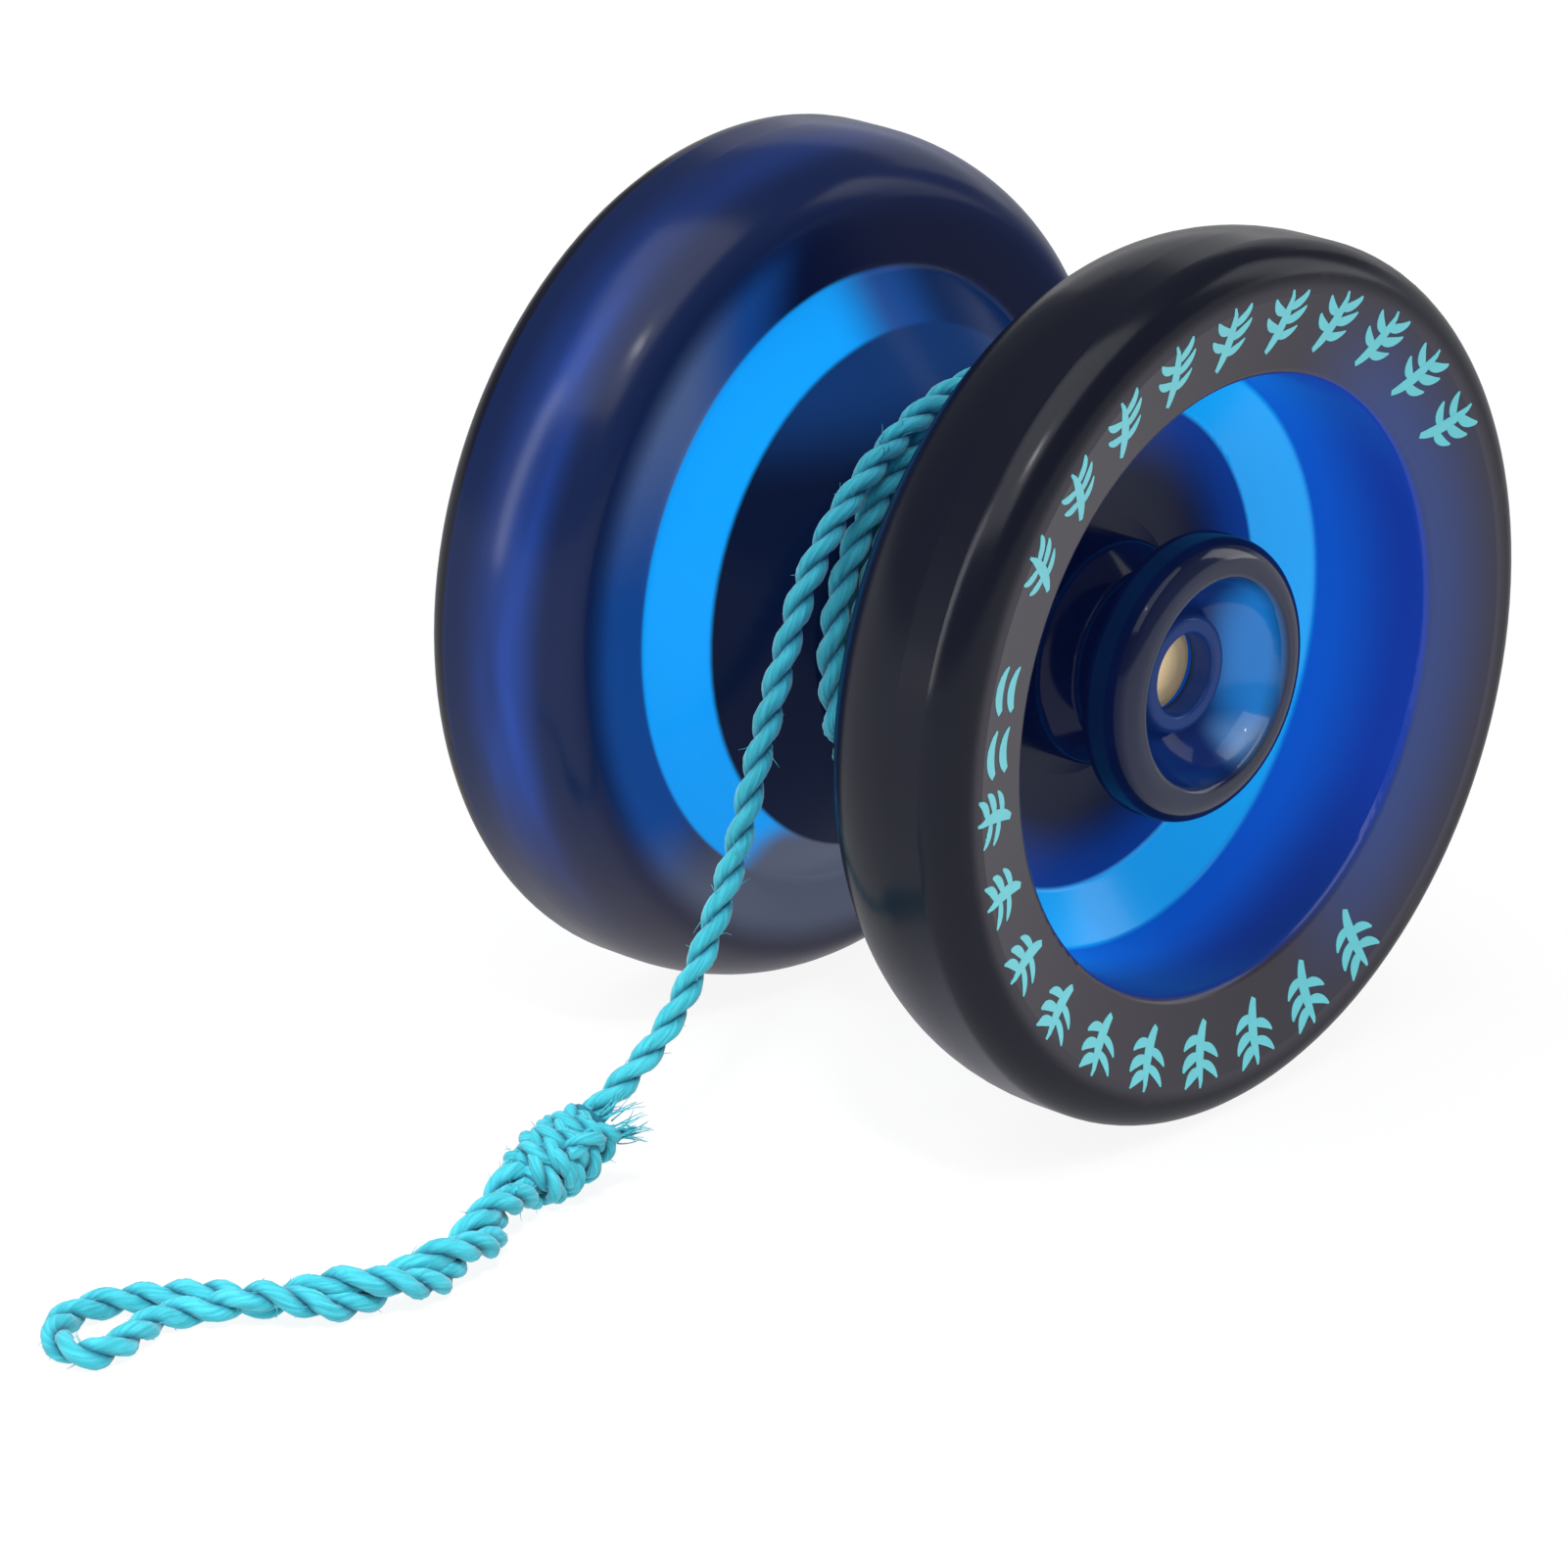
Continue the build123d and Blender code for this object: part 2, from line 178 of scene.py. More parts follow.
# finger loop: a twisted leg of two strands, and the eye that they part into
LOOP_STRAND_D = 1.9
LOOP_STEP = 0.25
LOOP_PITCH = 13.0
LOOP_OFFSET = 0.72
LOOP_PARTING = 4.0
LEG_ROUTE = [
    (-40.3, 1.2, -25.9),
    (-45.2, -1.1, -26.3),
    (-50.5, -3.6, -26.3),
    (-56.2, -3.2, -26.3),
    (-60.6, -0.6, -26.3),
    (-63.9, 3.2, -26.4),
]
EYE_ROUTE = [
    (-63.6, 4.4, -26.5),
    (-65.1, 7.2, -27.05),
    (-68.2, 9.0, -27.05),
    (-71.6, 8.9, -27.05),
    (-73.6, 6.4, -27.05),
    (-73.0, 3.8, -27.05),
    (-70.5, 4.0, -27.05),
    (-68.2, 4.7, -27.05),
    (-66.2, 5.0, -27.05),
    (-64.7, 3.8, -27.05),
]

# colours of the plastic
# webs' azure: partly the plastic's blue, partly a painted glow of light through the thin plastic,
# brighter in the cup
WEB_AZURE = (0.005, 0.30, 0.82)
CUP_WEB_AZURE = (0.004, 0.44, 1.0)
CUP_BLUE_BRIGHT = (0.008, 0.125, 0.66)
CUP_BLUE_DEEP = (0.010, 0.045, 0.35)
# painted shade low in the cup's wall, towards the mouth
CUP_NAVY = (0.008, 0.030, 0.18)
FLOOR_BLUE = (0.005, 0.045, 0.26)
CORE_NAVY = (0.002, 0.006, 0.026)
CORE_BLUE = (0.005, 0.030, 0.125)
# painted shadow across the far half's web, where light comes through only its left
WEB_SHADOW_NAVY = (0.003, 0.018, 0.080)
# painted sheen of the pale floor's light, low on the far half
LOW_SHEEN_GREY = (0.078, 0.092, 0.140)
SHOULDER_BLUE = (0.008, 0.056, 0.235)
# painted highlight on the far shoulder's upper left
SHOULDER_HIGHLIGHT = (0.075, 0.115, 0.24)
SHOULDER_DARK = (0.003, 0.007, 0.034)
RIM_BLACK = (0.0035, 0.0045, 0.011)
# painted sheen of the pale floor's light, low on both rims
RIM_LOW_SHEEN = (0.029, 0.028, 0.045)
RIM_NAVY = (0.004, 0.011, 0.050)
# painted reflection of a softbox, in streaks on the far rim
RIM_REFLECTION_BLUE = (0.012, 0.047, 0.26)
FACE_CHARCOAL = (0.024, 0.021, 0.031)
# painted glow on the right of the face
FACE_BLUE = (0.020, 0.042, 0.16)
HUB_DARK = (0.002, 0.004, 0.018)
HUB_NAVY = (0.004, 0.010, 0.045)
DISH_BLUE = (0.004, 0.018, 0.11)
# painted reflection of azure in the right of the dish, and a painted highlight low in it
DISH_REFLECTED_AZURE = (0.010, 0.19, 0.58)
DISH_HIGHLIGHT = (0.085, 0.23, 0.50)
EYE_BLUE = (0.010, 0.034, 0.15)

# colours of the rest
STRING_LIGHT = (0.072, 0.58, 0.71)
STRING_MIDDLE = (0.034, 0.40, 0.49)
# painted shade of the string, in its grooves and up in the gap
STRING_SHADE = (0.003, 0.11, 0.20)
PRINT_CYAN = (0.12, 0.66, 0.74)
SILICONE_DARK = (0.36, 0.38, 0.40)
SILICONE_PALE = (0.52, 0.54, 0.56)
RACE_STEEL = (0.62, 0.63, 0.65)
SHIELD_STEEL = (0.60, 0.61, 0.63)
CAGE_STEEL = (0.55, 0.50, 0.38)
BRIGHT_METAL = (0.80, 0.81, 0.83)
BRASS = (0.92, 0.72, 0.42)
AXLE_BLACK = (0.16, 0.16, 0.17)
SWEEP_DARK = (0.11, 0.11, 0.11)
SWEEP_PALE = (0.13, 0.13, 0.13)
WHITE = (1.0, 1.0, 1.0)

# metal: the pitch of the axle's thread, and what the rings left by turning do to the metal
AXLE_PITCH = 0.7
RING_SHADE = 0.72
RING_ROUGHNESS = (0.7, 1.3)

# stage: the floor, and the surround's light at the horizon and overhead, with the blend by height
SWEEP_Z = -28.0
SWEEP_REACH = 2000.0
HORIZON_BLEND = (0.06, 0.24)
HORIZON_LIGHT = 0.98
OVERHEAD_LIGHT = 0.28
# softboxes, facing the middle: place, width, height and power
SOFTBOXES = {
    "overhead": ((-0.25, -0.05, 0.75), 0.9, 0.9, 6),
    "right": ((0.75, -0.45, 0.35), 0.3, 0.7, 1.5),
    "behind": ((0.75, 0.40, 0.30), 0.9, 0.45, 1.0),
    "behind_left": ((-0.69, 0.36, 0.34), 0.10, 0.65, 1.5),
}
SPOT_PLACE = (-0.20, -0.15, 0.35)
SPOT_TARGET = (-0.056, 0.002, -0.026)
SPOT_POWER = 4.8
SPOT_ANGLE = math.radians(12)

# camera: its direction from the middle, and its place to the right of, above and back from there
CAMERA_TURN = math.radians(-47.565)
CAMERA_RISE = math.radians(21.477)
CAMERA_RIGHT = -12.27
CAMERA_UP = -10.89
CAMERA_BACK = 452.2
LENS_MM = 164.8
SENSOR_WIDTH_MM = 36


class Nodes:
    """Shader nodes in the making. A value may be a number, a colour or another node's socket."""

    def __init__(self, tree):
        self.tree = tree

    def feed(self, socket, value):
        if isinstance(value, bpy.types.NodeSocket):
            self.tree.links.new(value, socket)
        elif socket.type == "RGBA":
            socket.default_value = (*value, 1.0)
        else:
            socket.default_value = value

    def node(self, kind, inputs, **settings):
        made = self.tree.nodes.new(kind)
        for key, value in settings.items():
            setattr(made, key, value)
        for key, value in inputs.items():
            self.feed(made.inputs[key], value)
        return made

    def calc(self, operation, first, second=0.0):
        return self.node("ShaderNodeMath", {0: first, 1: second}, operation=operation).outputs[0]

    def both(self, first, second):
        """1 only where two 0 to 1 values both are."""
        return self.calc("MULTIPLY", first, second)

    def step(self, value, low, high):
        """0 below low, 1 above high, and smooth between."""
        inputs = {"Value": value, "From Min": low, "From Max": high}
        return self.node("ShaderNodeMapRange", inputs, interpolation_type="SMOOTHSTEP").outputs[0]

    def fall(self, value, low, high):
        """1 below low, 0 above high, and smooth between."""
        return self.calc("SUBTRACT", 1.0, self.step(value, low, high))

    def scale_to(self, value, low, high):
        """A 0 to 1 value spread from low to high."""
        inputs = {"Value": value, "To Min": low, "To Max": high}
        return self.node("ShaderNodeMapRange", inputs).outputs[0]

    def mix(self, factor, first, second):
        inputs = {0: factor, 6: first, 7: second}
        return self.node("ShaderNodeMix", inputs, data_type="RGBA").outputs[2]

    def split(self, vector):
        return self.node("ShaderNodeSeparateXYZ", {0: vector}).outputs

    def join(self, x, y, z):
        return self.node("ShaderNodeCombineXYZ", {0: x, 1: y, 2: z}).outputs[0]


class Look(Nodes):
    """A node material in the making."""

    def __init__(self, name):
        self.material = bpy.data.materials.new(name)
        self.material.use_nodes = True
        super().__init__(self.material.node_tree)
        self.surface = self.tree.nodes["Principled BSDF"]

    def set(self, **values):
        """Principled inputs by name, with _ for a space."""
        for key, value in values.items():
            self.feed(self.surface.inputs[key.replace("_", " ")], value)

    def place(self):
        """Object coordinates in metres, which are the row frame at rest."""
        return self.tree.nodes.new("ShaderNodeTexCoord").outputs["Object"]

    def stretch(self, factors):
        """The place, scaled by a factor along each axis."""
        inputs = {0: self.place(), 1: factors}
        return self.node("ShaderNodeVectorMath", inputs, operation="MULTIPLY").outputs[0]

    def where(self):
        """x, y and z in millimetres."""
        return self.split(self.stretch((1 / MM, 1 / MM, 1 / MM)))

    def radius(self):
        """Distance from the axle and from the middle plane, in millimetres."""
        x, y, z = self.where()
        square = self.calc("ADD", self.calc("MULTIPLY", x, x), self.calc("MULTIPLY", z, z))
        return self.calc("SQRT", square), self.calc("ABSOLUTE", y)

    def noise(self, scale, detail=2.0, vector=None):
        """Noise over a vector, or over the place, where the scale is per metre."""
        inputs = {"Vector": vector or self.place(), "Scale": scale, "Detail": detail}
        return self.node("ShaderNodeTexNoise", inputs).outputs["Fac"]

    def attribute(self, name, output):
        return self.node("ShaderNodeAttribute", {}, attribute_name=name).outputs[output]

    def bump(self, height, distance):
        """Relief from a 0 to 1 height, with the distance in millimetres."""
        inputs = {"Height": height, "Distance": distance * MM}
        self.set(Normal=self.node("ShaderNodeBump", inputs).outputs[0])


def scaled(parts, factor):
    return tuple(factor * part for part in parts)


# Zones of the looks in millimetres: a pair is the start and the end of a blend. R is the distance
# from the axle, Y the distance from the middle plane, X and Z the row frame's, and ACROSS is X with
# a slant in Z, which follows the painted shadow across the far half's web.
GAP_SIDE_R_LESS_Y = (8.1, 8.3)
FAR_HALF_Y = (-1.0, 1.0)
ACROSS_SLANT = 0.225

# core and web, seen from the string gap, with a painted shadow across the web and a painted sheen low on
# it
CORE_END_R = (16.9, 17.2)
CORE_BLUE_Z = (9.5, 15.0)
WEB_END_R = (20.0, 20.3)
WEB_SHADOW_START_ACROSS = (-8.5, -3.2)
WEB_SHADOW_DEEP_ACROSS = (-3.0, 2.5)
WEB_SHADOW_END_ACROSS = (12.0, 18.0)
WEB_LOW_SHEEN_Z = (-15.5, -12.0)
WEB_LOW_SHEEN_X = (-12.5, -9.5)

# shoulder between the web and the rim, with a painted highlight on its upper left and a painted sheen
# low down
SHOULDER_END_R = (22.5, 25.2)
SHOULDER_HIGHLIGHT_Z = (3.0, 16.0)
SHOULDER_HIGHLIGHT_X = (-16.5, -10.0)
SHOULDER_DARK_ACROSS = (-15.0, -9.5)
SHOULDER_LOW_SHEEN_Z = (-18.5, -11.0)

# rim, with its band of blue streaks of painted reflection, and a painted sheen low down
BAND_START_Y = (12.0, 14.5)
BAND_END_Y = (15.2, 18.8)
BAND_BOTTOM_Z = (-22.0, -6.0)
BAND_TOP_Z = (15.0, 26.0)
RIM_LOW_SHEEN_Z = (-23.0, -6.0)

# cup and face, seen from outside, with painted shade low in the cup's wall and a painted glow on the
# face's right
FLOOR_BLUE_R = (10.5, 15.6)
FLOOR_END_R = (15.4, 15.8)
CUP_WALL_Y = (11.8, 12.3)
CUP_DEEP_Y = (12.5, 19.0)
CUP_SHADE_Y = (13.5, 20.0)
CUP_SHADE_Z = (-19.0, -9.0)
CUP_END_R = (19.6, 19.9)
FACE_GLOW_R = (19.6, 26.2)
FACE_GLOW_X = (4.0, 16.0)
FACE_END_R = (25.2, 26.2)

# polish of the shell
SATIN_RIM_R = (25.0, 26.0)
DULL_END_R = (24.5, 26.0)

# hub: its dish with the eye in the middle, its painted reflection and painted highlight, and its lip
DISH_END_R = (6.2, 7.0)
DISH_START_Y = (15.0, 15.6)
DISH_BLUE_X = (2.2, 5.6)
DISH_HIGHLIGHT_X = (1.5, 4.0)
DISH_HIGHLIGHT_Z = (-5.0, -3.2)
EYE_END_R = (3.7, 4.0)
LIP_START_Y = (17.6, 18.4)
LIP_END_R = (8.4, 8.9)

# string, with painted shade up in the gap
STRING_SHADE_Z = (-20.0, 0.0)

# rim's streaks, which are painted reflection: how fast they change along x, y and z per metre, the noise
# values where one starts and is full, and the least and the most that a streak and its height add of
# their blue
STREAK_STRETCH = (45.0, 260.0, 45.0)
STREAK_EDGES = (0.35, 0.7)
STREAK_SHARE = (0.35, 1.0)
LEVEL_SHARE = (0.25, 1.0)

# how much the shell's polish reflects: on the cup's wall, elsewhere, and what the dull web loses
WALL_COAT = 0.6
SATIN_COAT = 0.4
DULL_COAT_CUT = 0.27
HUB_COAT = (0.3, 0.8)
SHELL_ROUGHNESS = (0.3, 0.42)

# string: the noise values where a fibre starts to be light and is so, the crest values where a
# strand leaves its groove's painted shade and is its own colour, and how much the painted shade up in
# the gap adds
FIBRE_EDGES = (0.3, 0.7)
CREST_EDGES = (0.35, 0.95)
SHADE_SHARE = (0.0, 0.38)


def shoulder_colour(look, across):
    """The flat ring beside the web: blue, with a painted highlight on the upper left and a painted sheen
    of floor light below, and dark from the top rightwards.
    """
    x, _, z = look.where()
    # painted highlight on the upper left
    painted_sheen = look.both(look.step(z, *SHOULDER_HIGHLIGHT_Z), look.fall(x, *SHOULDER_HIGHLIGHT_X))
    lit = look.mix(painted_sheen, SHOULDER_BLUE, SHOULDER_HIGHLIGHT)
    upper = look.mix(look.step(across, *SHOULDER_DARK_ACROSS), lit, SHOULDER_DARK)
    return look.mix(look.fall(z, *SHOULDER_LOW_SHEEN_Z), upper, LOW_SHEEN_GREY)


def rim_colour(look, r, a, across):
    """Near-black on half a; navy with a blue shoulder and uneven blue streaks of painted reflection on
    half b; a painted sheen low on both.
    """
    _, y, z = look.where()
    # painted reflection of a softbox: uneven blue streaks in a band round the far rim
    streaks = look.step(look.noise(1.0, vector=look.stretch(STREAK_STRETCH)), *STREAK_EDGES)
    reflection_band = look.both(look.step(a, *BAND_START_Y), look.fall(a, *BAND_END_Y))
    uneven = look.both(reflection_band, look.scale_to(streaks, *STREAK_SHARE))
    level = look.both(look.step(z, *BAND_BOTTOM_Z), look.fall(z, *BAND_TOP_Z))
    streaked = look.both(uneven, look.scale_to(level, *LEVEL_SHARE))
    far = look.step(y, *FAR_HALF_Y)
    upper = look.mix(far, RIM_BLACK, look.mix(streaked, RIM_NAVY, RIM_REFLECTION_BLUE))
    # painted sheen of the floor's light on the lower rim
    rim = look.mix(look.step(z, *RIM_LOW_SHEEN_Z), RIM_LOW_SHEEN, upper)
    shoulder = look.both(far, look.fall(r, *SHOULDER_END_R))
    return look.mix(shoulder, rim, shoulder_colour(look, across))


def gap_side_colour(look, r, a):
    """What shows from the string gap: navy core, azure web with a painted shadow across it, and the rim.
    """
    x, _, z = look.where()
    across = look.calc("SUBTRACT", x, look.calc("MULTIPLY", z, ACROSS_SLANT))
    # painted shadow: a dark band slanting across the far half's azure web
    web_shadow = look.both(look.step(across, *WEB_SHADOW_START_ACROSS), look.fall(across, *WEB_SHADOW_END_ACROSS))
    shadow_colour = look.mix(look.step(across, *WEB_SHADOW_DEEP_ACROSS), SHOULDER_BLUE, WEB_SHADOW_NAVY)
    # painted sheen of the floor's light, low on the web
    painted_sheen = look.both(look.fall(z, *WEB_LOW_SHEEN_Z), look.step(x, *WEB_LOW_SHEEN_X))
    web = look.mix(painted_sheen, look.mix(web_shadow, WEB_AZURE, shadow_colour), LOW_SHEEN_GREY)
    core = look.mix(look.step(z, *CORE_BLUE_Z), CORE_NAVY, CORE_BLUE)
    inner = look.mix(look.step(r, *CORE_END_R), core, web)
    return look.mix(look.step(r, *WEB_END_R), inner, rim_colour(look, r, a, across))


def cup_side_colour(look, r, a):
    """What shows from outside: floor, azure web, royal blue cup wall with painted shade low by the
    mouth, and charcoal face with a painted glow on its right.
    """
    x, _, z = look.where()
    floor = look.mix(look.step(r, *FLOOR_BLUE_R), CORE_NAVY, FLOOR_BLUE)
    plain_wall = look.mix(look.step(a, *CUP_DEEP_Y), CUP_BLUE_BRIGHT, CUP_BLUE_DEEP)
    # painted shade on the cup's wall, low down and towards the mouth
    painted_shade = look.both(look.step(a, *CUP_SHADE_Y), look.fall(z, *CUP_SHADE_Z))
    wall = look.mix(painted_shade, plain_wall, CUP_NAVY)
    low = look.mix(look.step(r, *FLOOR_END_R), floor, CUP_WEB_AZURE)
    cup = look.mix(look.step(a, *CUP_WALL_Y), low, wall)
    # painted glow on the face's right side
    painted_glow = look.both(look.fall(r, *FACE_GLOW_R), look.step(x, *FACE_GLOW_X))
    face = look.mix(look.step(r, *FACE_END_R), look.mix(painted_glow, FACE_CHARCOAL, FACE_BLUE), RIM_BLACK)
    return look.mix(look.step(r, *CUP_END_R), cup, face)


def shell_coat(look, r, gap_side):
    """How much the polish reflects: most on the cup's wall, and least on the web and core in the gap."""
    edges = look.calc("ADD", look.step(r, *SATIN_RIM_R), look.fall(r, *FLOOR_END_R))
    satin = look.scale_to(look.calc("MAXIMUM", gap_side, edges), WALL_COAT, SATIN_COAT)
    dull = look.both(gap_side, look.fall(r, *DULL_END_R))
    return look.calc("SUBTRACT", satin, look.calc("MULTIPLY", dull, DULL_COAT_CUT))


def shell_look():
    """Polished translucent blue plastic with painted light: dark where it is thick, a painted azure glow
    where it is thin.
    """
    look = Look("shell_plastic")
    r, a = look.radius()
    gap_side = look.step(look.calc("SUBTRACT", r, a), *GAP_SIDE_R_LESS_Y)
    colour = look.mix(gap_side, cup_side_colour(look, r, a), gap_side_colour(look, r, a))
    look.set(
        Base_Color=colour,
        # painted glow: the plastic gives off its own colours, standing in for light through it
        Emission_Color=colour,
        Emission_Strength=0.35,
        Roughness=look.scale_to(look.noise(400.0, detail=3.0), *SHELL_ROUGHNESS),
        Specular_IOR_Level=0.0,
        Coat_Weight=shell_coat(look, r, gap_side),
        Coat_Roughness=0.2,
    )
    return look.material


def hub_look():
    """The same plastic, glassier: navy with a painted glow, a painted reflection of azure in the right
    of the dish, a painted highlight low in it, and a bright lip.
    """
    look = Look("hub_plastic")
    r, a = look.radius()
    x, _, z = look.where()
    body = look.mix(look.noise(220.0), HUB_DARK, HUB_NAVY)
    # painted reflection of azure on the dish's right, with a painted highlight lower down
    right = look.step(x, *DISH_BLUE_X)
    dish_highlight = look.both(look.step(x, *DISH_HIGHLIGHT_X), look.fall(z, *DISH_HIGHLIGHT_Z))
    lit = look.mix(dish_highlight, look.mix(right, DISH_BLUE, DISH_REFLECTED_AZURE), DISH_HIGHLIGHT)
    inner = look.mix(look.step(r, *EYE_END_R), EYE_BLUE, lit)
    dish = look.both(look.fall(r, *DISH_END_R), look.step(a, *DISH_START_Y))
    colour = look.mix(dish, body, inner)
    lip = look.both(look.step(a, *LIP_START_Y), look.fall(r, *LIP_END_R))
    glassy = look.calc("MAXIMUM", look.both(dish, right), lip)
    look.set(
        Base_Color=colour,
        # painted glow, as on the shell
        Emission_Color=colour,
        Emission_Strength=0.3,
        Roughness=0.2,
        Specular_IOR_Level=0.0,
        Coat_Weight=look.scale_to(glassy, *HUB_COAT),
        Coat_Roughness=0.1,
    )
    return look.material


def turned_metal(name, colour, roughness, ring_scale=2.6, painted_glow=0.0):
    """Metal with the fine rings that turning leaves, about ring_scale to the millimetre."""
    look = Look(name)
    r, a = look.radius()
    across = look.calc("MULTIPLY", r, ring_scale)
    along = look.calc("MULTIPLY", a, ring_scale)
    rings = look.noise(1.0, vector=look.join(across, along, 0.0))
    smoothest, roughest = scaled(RING_ROUGHNESS, roughness)
    look.set(
        Base_Color=look.mix(rings, scaled(colour, RING_SHADE), colour),
        Metallic=1.0,
        Roughness=look.scale_to(rings, smoothest, roughest),
        # painted glow of the metal's own colour, as strong as painted_glow
        Emission_Color=colour,
        Emission_Strength=painted_glow,
    )
    look.bump(rings, distance=0.02)
    return look.material


def threaded_metal(name, colour, pitch):
    """Blackened screw with its thread as a bump round the shank."""
    look = Look(name)
    x, y, z = look.where()
    turn = look.calc("DIVIDE", look.calc("ARCTAN2", z, x), 2 * math.pi)
    along = look.calc("ADD", look.calc("DIVIDE", y, pitch), turn)
    thread = look.calc("PINGPONG", along, 0.5)
    look.set(
        Base_Color=look.mix(look.noise(900.0), colour, scaled(colour, factor=1.6)),
        Metallic=1.0,
        Roughness=0.35,
    )
    look.bump(thread, distance=0.4)
    return look.material


def silicone_look():
    look = Look("pad_silicone")
    speckle = look.noise(2500.0, detail=4.0)
    look.set(
        Base_Color=look.mix(speckle, SILICONE_DARK, SILICONE_PALE),
        Roughness=0.62,
        Subsurface_Weight=0.1,
    )
    look.bump(speckle, distance=0.03)
    return look.material


def print_look():
    look = Look("print_ink")
    patchy = look.noise(900.0, detail=3.0)
    look.set(
        Base_Color=look.mix(patchy, scaled(PRINT_CYAN, factor=0.85), PRINT_CYAN),
        Roughness=0.4,
        Coat_Weight=0.3,
    )
    look.bump(patchy, distance=0.008)
    return look.material


def string_look():
    """Twisted fibres: streaks along each strand, with painted shade in the grooves and up in the gap."""
    look = Look("string_cord")
    _, _, z = look.where()
    streaks = look.noise(2.4, detail=4.0, vector=look.attribute("fibre", "Vector"))
    lit = look.mix(look.step(streaks, *FIBRE_EDGES), STRING_MIDDLE, STRING_LIGHT)
    # painted shade up in the gap between the halves
    painted_shade = look.scale_to(look.step(z, *STRING_SHADE_Z), *SHADE_SHARE)
    # painted shade in the grooves between the plies
    crest = look.step(look.attribute("crest", "Fac"), *CREST_EDGES)
    look.set(
        Base_Color=look.mix(crest, STRING_SHADE, look.mix(painted_shade, lit, STRING_SHADE)),
        Roughness=0.85,
        Sheen_Weight=0.35,
        Sheen_Roughness=0.4,
        Specular_IOR_Level=0.25,
    )
    look.bump(streaks, distance=0.12)
    return look.material


def new_piece(name, points, faces, material):
    """A linked object with one material, from points in millimetres."""
    mesh = bpy.data.meshes.new(name)
    mesh.from_pydata([point * MM for point in points], [], faces)
    mesh.materials.append(material)
    piece = bpy.data.objects.new(name, mesh)
    bpy.context.collection.objects.link(piece)
    return piece


def evenly(line, step):
    """The line again, with points about a step apart."""
    lengths = [(b - a).length for a, b in zip(line, line[1:])]
    count = max(2, round(sum(lengths) / step))
    spacing = sum(lengths) / count
    spaced = [line[0]]
    passed = 0.0
    for start, end, length in zip(line, line[1:], lengths):
        while len(spaced) < count and spacing * len(spaced) <= passed + length:
            spaced.append(start.lerp(end, (spacing * len(spaced) - passed) / length))
        passed += length
    spaced.append(line[-1])
    return spaced


def smooth_line(route, step):
    """The points of a smooth curve whose control points are the route."""
    curve = bpy.data.curves.new("route", "CURVE")
    curve.dimensions = "3D"
    curve.resolution_u = 16
    spline = curve.splines.new("NURBS")
    spline.points.add(len(route) - 1)
    for point, corner in zip(spline.points, route):
        point.co = (*corner, 1.0)
    spline.order_u = 3
    spline.use_endpoint_u = True
    holder = bpy.data.objects.new("route", curve)
    mesh = bpy.data.meshes.new_from_object(holder)
    line = [vertex.co.copy() for vertex in mesh.vertices]
    bpy.data.objects.remove(holder)
    bpy.data.meshes.remove(mesh)
    bpy.data.curves.remove(curve)
    return evenly(line, step)


def spacing_of(line):
    return (line[1] - line[0]).length


def carried_frames(line):
    """Two directions square to the line at each point, carried along it without twist."""
    tangents = []
    for i in range(len(line)):
        before = line[max(i - 1, 0)]
        after = line[min(i + 1, len(line) - 1)]
        tangents.append((after - before).normalized())
    side = tangents[0].orthogonal().normalized()
    frames = []
    for i, tangent in enumerate(tangents):
        if i:
            side = tangents[i - 1].rotation_difference(tangent) @ side
        side = (side - tangent * side.dot(tangent)).normalized()
        frames.append((side, tangent.cross(side)))
    return frames


def outward(sides, angle):
    """The direction at an angle between the two sides of a frame."""
    side, up = sides
    return side * math.cos(angle) + up * math.sin(angle)


def swell_at(grain):
    """How far a ply stands out or in at a place in its grain, as a factor on its radius."""
    broad = noise.noise(grain * SWELL_SCALE)
    fine = noise.noise(grain * RIPPLE_SCALE)
    return 1 + SWELL * broad + RIPPLE * fine


